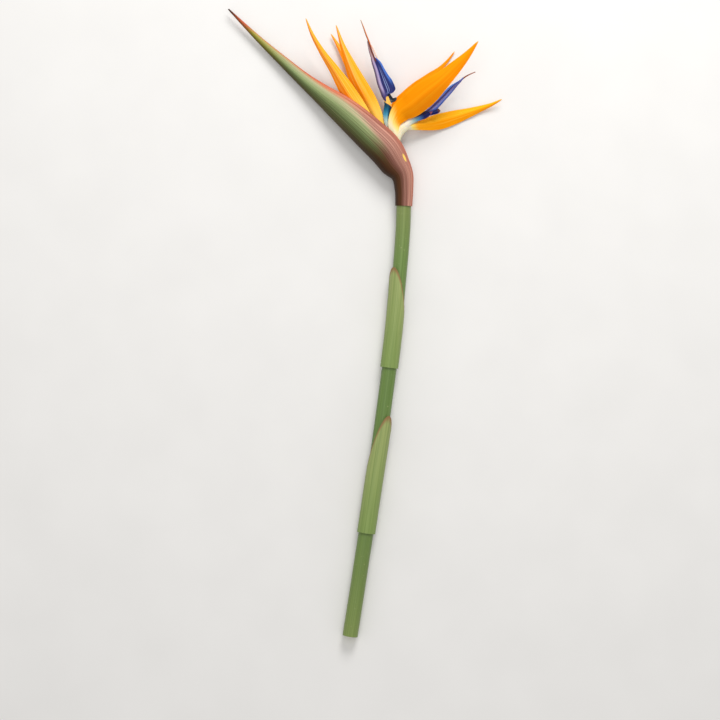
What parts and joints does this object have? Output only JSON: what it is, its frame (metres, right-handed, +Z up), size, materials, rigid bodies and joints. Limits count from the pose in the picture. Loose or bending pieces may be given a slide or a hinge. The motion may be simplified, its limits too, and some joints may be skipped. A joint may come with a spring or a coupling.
{
  "type": "bird of paradise flower",
  "caption": "Cut bird of paradise flower: a beak-shaped bract on a long stalk, with open florets of orange sepals and blue arrow-shaped petals.",
  "frame": {"origin": "middle of the flower's footprint, on the surface that it lies on", "axes": "+Y along the flower from the cut end of the stalk towards the head, +X towards the florets' side, +Z up from the surface"},
  "size_m": [0.2337, 0.5356, 0.042],
  "materials": {
    "stem": "smooth waxy plant skin",
    "stem_sheath": "smooth dull leaf",
    "spathe": "waxy bract, green with a red edge",
    "floret_tube": "smooth, translucent",
    "sepal": "satin petal",
    "arrow": "satin petal",
    "small_petal": "satin petal",
    "stamens": "matt",
    "style": "matt",
    "bud": "satin petal"
  },
  "bodies": {
    "root": {"stem": "stem", "stem_sheath_upper": "stem_sheath", "stem_sheath_lower": "stem_sheath", "spathe": "spathe", "floret_1_tube": "floret_tube", "floret_1_arrow": "arrow", "floret_1_sepal_near": "sepal", "floret_1_sepal_far": "sepal", "floret_1_sepal_outer": "sepal", "floret_1_small_petal": "small_petal", "floret_1_stamens": "stamens", "floret_1_style": "style", "floret_2_tube": "floret_tube", "floret_2_arrow": "arrow", "floret_2_sepal_near": "sepal", "floret_2_sepal_middle": "sepal", "floret_2_sepal_far": "sepal", "floret_2_small_petal": "small_petal", "floret_2_stamens": "stamens", "floret_2_style": "style", "bud_1": "bud", "bud_2": "bud"}
  },
  "joints": []
}
